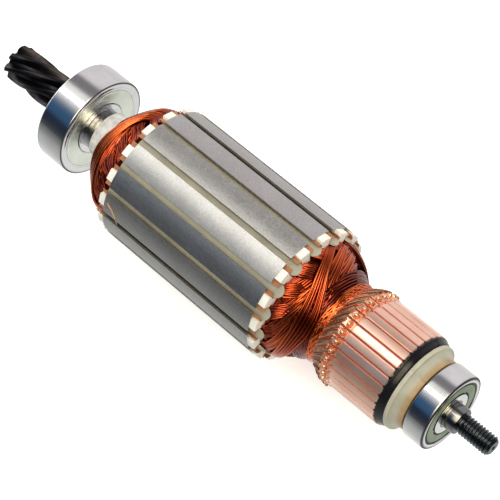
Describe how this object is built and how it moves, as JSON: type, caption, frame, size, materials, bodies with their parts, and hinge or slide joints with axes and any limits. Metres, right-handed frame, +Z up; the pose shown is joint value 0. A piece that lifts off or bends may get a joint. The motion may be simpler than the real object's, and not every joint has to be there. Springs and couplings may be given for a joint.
{
  "type": "motor armature",
  "caption": "Wound rotor with a slotted laminated core, commutator, helical pinion and a ball bearing at each end, for a hand-held power tool motor.",
  "frame": {"origin": "on the shaft's axis, at the middle of the drive-end bearing, which is the drive_bearing_seat mount", "axes": "+X along the shaft from the pinion to the threaded end, +Z up, with the shaft lying level"},
  "size_m": [0.1885, 0.0434, 0.0434],
  "materials": {
    "shaft_steel": "dark oxide, bright on the seats",
    "sleeve_plastic": "moulded",
    "collar_metal": "mottled",
    "core_steel": "turned laminations",
    "plate_white": "moulded",
    "liner_paper": "varnished",
    "wedge_laminate": "glass laminate",
    "copper_wire": "enamelled",
    "lead_resin": "trickled resin",
    "bar_copper": "turned",
    "bar_mica": "undercut",
    "moulding_black": "moulded",
    "bush_steel": "turned",
    "ring_ivory": "moulded",
    "bearing_steel": "ground",
    "bearing_balls": "polished",
    "cage_steel": "pressed",
    "shield_steel": "pressed",
    "seal_rubber": "moulded"
  },
  "bodies": {
    "drive_bearing_fixed": {"drive_outer_ring": "bearing_steel", "drive_shield_outer": "shield_steel", "drive_shield_inner": "shield_steel"},
    "rotor": {"shaft": "shaft_steel", "shaft_sleeve": "sleeve_plastic", "drive_collar": "collar_metal", "core_laminations": "core_steel", "end_plate_drive": "plate_white", "end_plate_comm": "plate_white", "slot_liners": "liner_paper", "slot_wedges": "wedge_laminate", "armature_winding": "copper_wire", "lead_binding": "lead_resin", "commutator_bars": "bar_copper", "bar_insulation": "bar_mica", "commutator_moulding": "moulding_black", "commutator_bush": "bush_steel", "insulating_ring": "ring_ivory", "drive_inner_ring": "bearing_steel", "comm_inner_ring": "bearing_steel"},
    "drive_ball_set": {"drive_bearing_balls": "bearing_balls", "drive_cage": "cage_steel", "drive_cage_rivets": "cage_steel"},
    "comm_bearing_ring": {"comm_outer_ring": "bearing_steel", "comm_seal_outer": "seal_rubber", "comm_seal_inner": "seal_rubber"},
    "comm_ball_set": {"comm_bearing_balls": "bearing_balls", "comm_cage": "cage_steel", "comm_cage_rivets": "cage_steel"}
  },
  "joints": [
    {"name": "rotor_spin", "type": "hinge", "parent": "drive_bearing_fixed", "child": "rotor", "pos_m": [0, 0, 0], "axis": [1, 0, 0], "continuous": true},
    {"name": "drive_balls_orbit", "type": "hinge", "parent": "drive_bearing_fixed", "child": "drive_ball_set", "pos_m": [0, 0, 0], "axis": [1, 0, 0], "continuous": true},
    {"name": "comm_ring_spin", "type": "hinge", "parent": "rotor", "child": "comm_bearing_ring", "pos_m": [0.1385, 0, 0], "axis": [1, 0, 0], "continuous": true},
    {"name": "comm_balls_orbit", "type": "hinge", "parent": "rotor", "child": "comm_ball_set", "pos_m": [0.1385, 0, 0], "axis": [1, 0, 0], "continuous": true}
  ],
  "couplings": [
    {"joint": "drive_balls_orbit", "follows": "rotor_spin", "ratio": 0.3647},
    {"joint": "comm_balls_orbit", "follows": "comm_ring_spin", "ratio": 0.6203}
  ]
}
